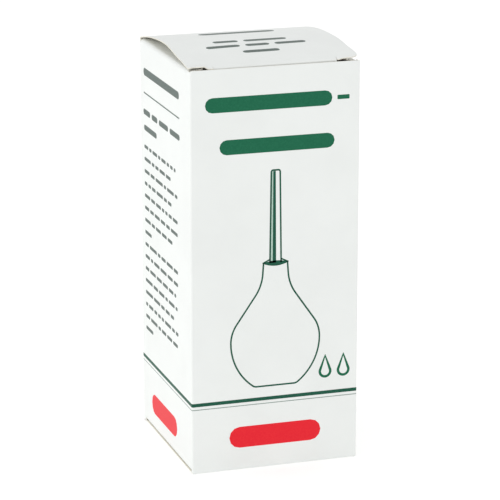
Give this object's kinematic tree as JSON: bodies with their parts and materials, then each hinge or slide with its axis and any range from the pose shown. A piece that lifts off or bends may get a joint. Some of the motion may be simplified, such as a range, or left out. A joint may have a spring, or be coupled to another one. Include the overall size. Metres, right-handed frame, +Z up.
{
  "type": "boxed enema syringe",
  "caption": "Closed white folding carton with green stripes and an arched tuck lid, holding a rubber bulb syringe with a tapered nozzle that lifts out when the lid opens.",
  "frame": {"origin": "on the floor under the middle of the closed carton", "axes": "+Z up along the carton's height, the printed front panel towards -Y, the lid hinged at +Y"},
  "size_m": [0.072, 0.074, 0.1743],
  "materials": {
    "board": "coated white folding boxboard",
    "bulb_rubber": "smooth moulded",
    "nozzle_plastic": "gloss moulded"
  },
  "bodies": {
    "carton": {"front_panel": "board", "back_panel": "board", "left_side_panel": "board", "right_side_panel": "board", "glue_flap": "board"},
    "lid": {"lid_panel": "board"},
    "lid_tuck": {"lid_tuck_flap": "board"},
    "top_left_dust": {"top_left_dust_flap": "board"},
    "top_right_dust": {"top_right_dust_flap": "board"},
    "bottom": {"bottom_panel": "board"},
    "bottom_tuck": {"bottom_tuck_flap": "board"},
    "bottom_left_dust": {"bottom_left_dust_flap": "board"},
    "bottom_right_dust": {"bottom_right_dust_flap": "board"},
    "bulb": {"bulb": "bulb_rubber"},
    "nozzle": {"nozzle": "nozzle_plastic"}
  },
  "joints": [
    {"name": "lid_open", "type": "hinge", "parent": "carton", "child": "lid", "pos_m": [0, 0.037, 0.17], "axis": [-1, 0, 0], "range_deg": [0, 180]},
    {"name": "lid_tuck_unfold", "type": "hinge", "parent": "lid", "child": "lid_tuck", "pos_m": [0, -0.0364, 0.17014], "axis": [-1, 0, 0], "range_deg": [0, 45]},
    {"name": "top_left_dust_fold", "type": "hinge", "parent": "carton", "child": "top_left_dust", "pos_m": [-0.036, 0, 0.1694], "axis": [0, -1, 0], "range_deg": [0, 90]},
    {"name": "top_right_dust_fold", "type": "hinge", "parent": "carton", "child": "top_right_dust", "pos_m": [0.036, 0, 0.1694], "axis": [0, 1, 0], "range_deg": [0, 90]},
    {"name": "syringe_lift", "type": "slide", "parent": "carton", "child": "bulb", "axis": [0, 0, 1], "range_m": [0, 0.175]},
    {"name": "nozzle_pull", "type": "slide", "parent": "bulb", "child": "nozzle", "axis": [0, 0, 1], "range_m": [0, 0.014]},
    {"name": "bottom_open", "type": "hinge", "parent": "carton", "child": "bottom", "pos_m": [0, -0.037, 0], "axis": [-1, 0, 0], "range_deg": [0, 180]},
    {"name": "bottom_tuck_unfold", "type": "hinge", "parent": "bottom", "child": "bottom_tuck", "pos_m": [0, 0.0364, 0], "axis": [-1, 0, 0], "range_deg": [0, 45]},
    {"name": "bottom_left_dust_fold", "type": "hinge", "parent": "carton", "child": "bottom_left_dust", "pos_m": [-0.036, 0, 0.0006], "axis": [0, 1, 0], "range_deg": [0, 90]},
    {"name": "bottom_right_dust_fold", "type": "hinge", "parent": "carton", "child": "bottom_right_dust", "pos_m": [0.036, 0, 0.0006], "axis": [0, -1, 0], "range_deg": [0, 90]}
  ],
  "couplings": [
    {"joint": "lid_tuck_unfold", "follows": "lid_open", "ratio": 0.25},
    {"joint": "top_left_dust_fold", "follows": "lid_open", "ratio": 0.5},
    {"joint": "top_right_dust_fold", "follows": "lid_open", "ratio": 0.5},
    {"joint": "syringe_lift", "follows": "lid_open", "m_per_rad": 0.0557},
    {"joint": "bottom_tuck_unfold", "follows": "bottom_open", "ratio": 0.25},
    {"joint": "bottom_left_dust_fold", "follows": "bottom_open", "ratio": 0.5},
    {"joint": "bottom_right_dust_fold", "follows": "bottom_open", "ratio": 0.5}
  ]
}
